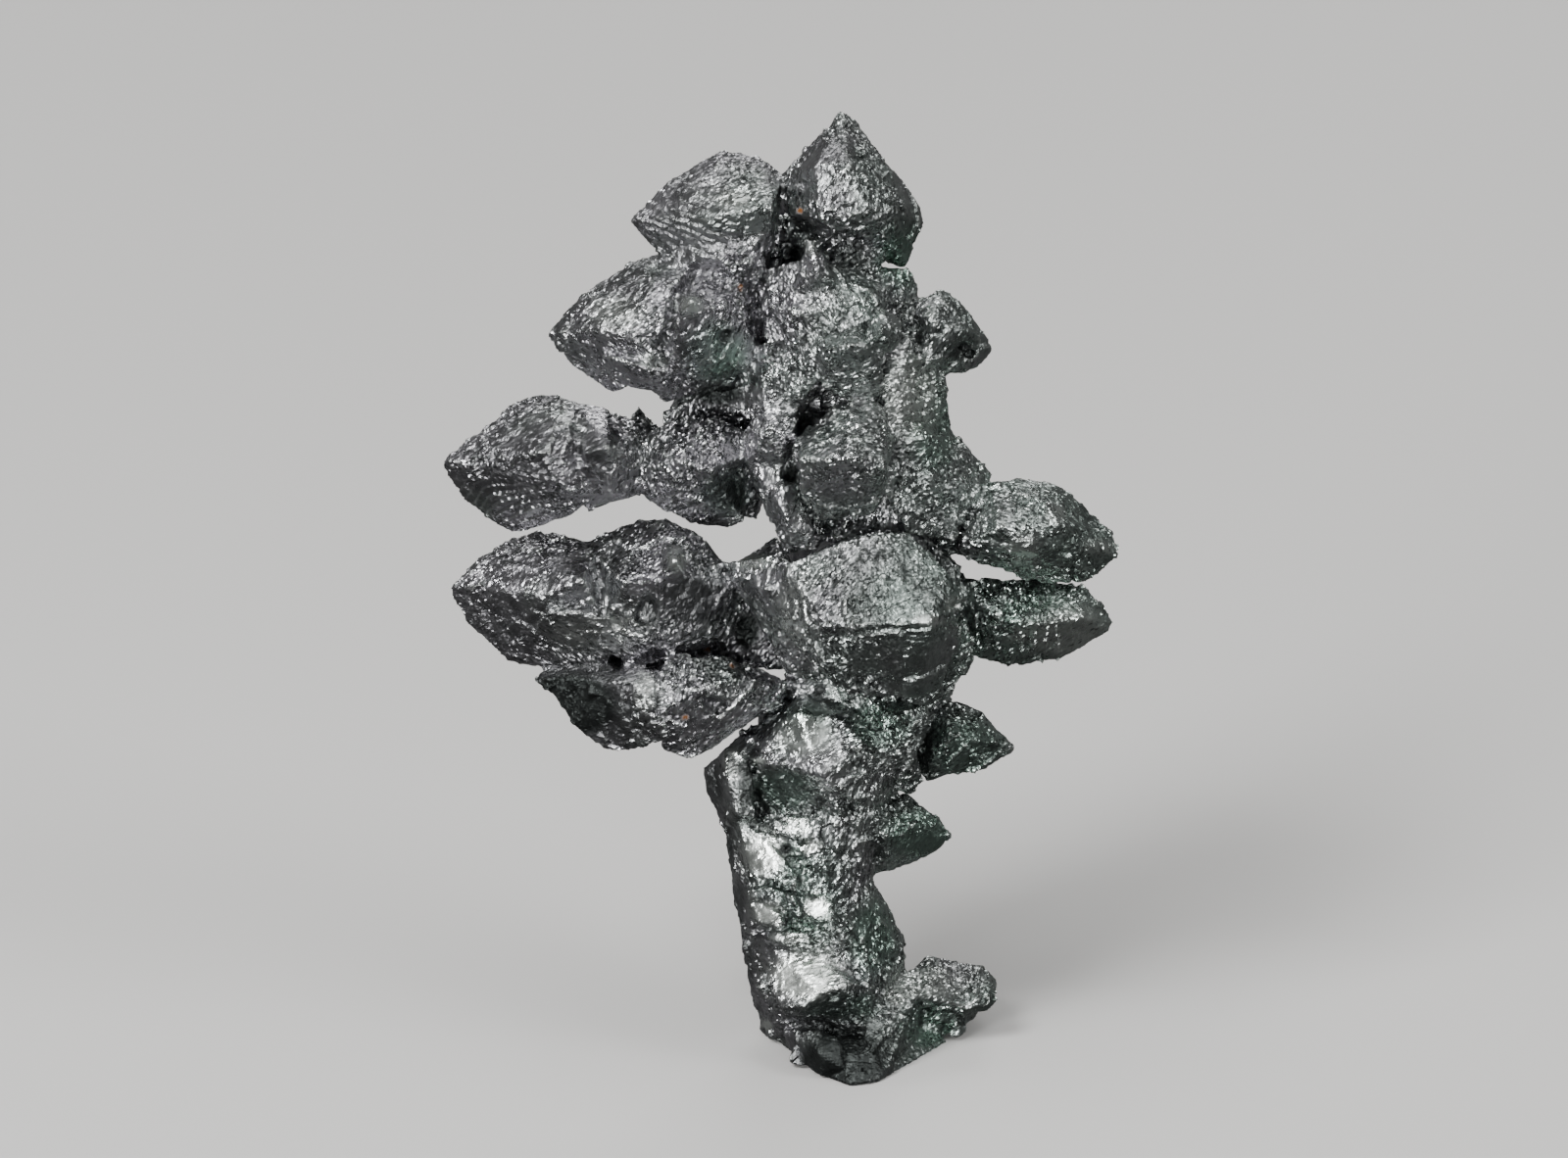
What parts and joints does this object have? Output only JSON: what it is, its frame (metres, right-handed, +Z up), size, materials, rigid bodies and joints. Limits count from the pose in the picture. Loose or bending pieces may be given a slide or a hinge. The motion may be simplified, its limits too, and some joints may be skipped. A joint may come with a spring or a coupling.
{
  "type": "acanthite crystal group",
  "caption": "Tree-shaped group of stretched octahedral acanthite crystals grown together on a thick stem, cut flat at the foot.",
  "frame": {"origin": "centre of the flat cut of the foot, on the surface the group stands on", "axes": "+Z up along the stem, +X to the right of the front, -Y towards the front, where the large crystal stands out"},
  "size_m": [0.0346, 0.0201, 0.0509],
  "materials": {
    "acanthite": "hackly etched steel-grey metallic crystal faces"
  },
  "bodies": {
    "root": {"acanthite": "acanthite"}
  },
  "joints": []
}
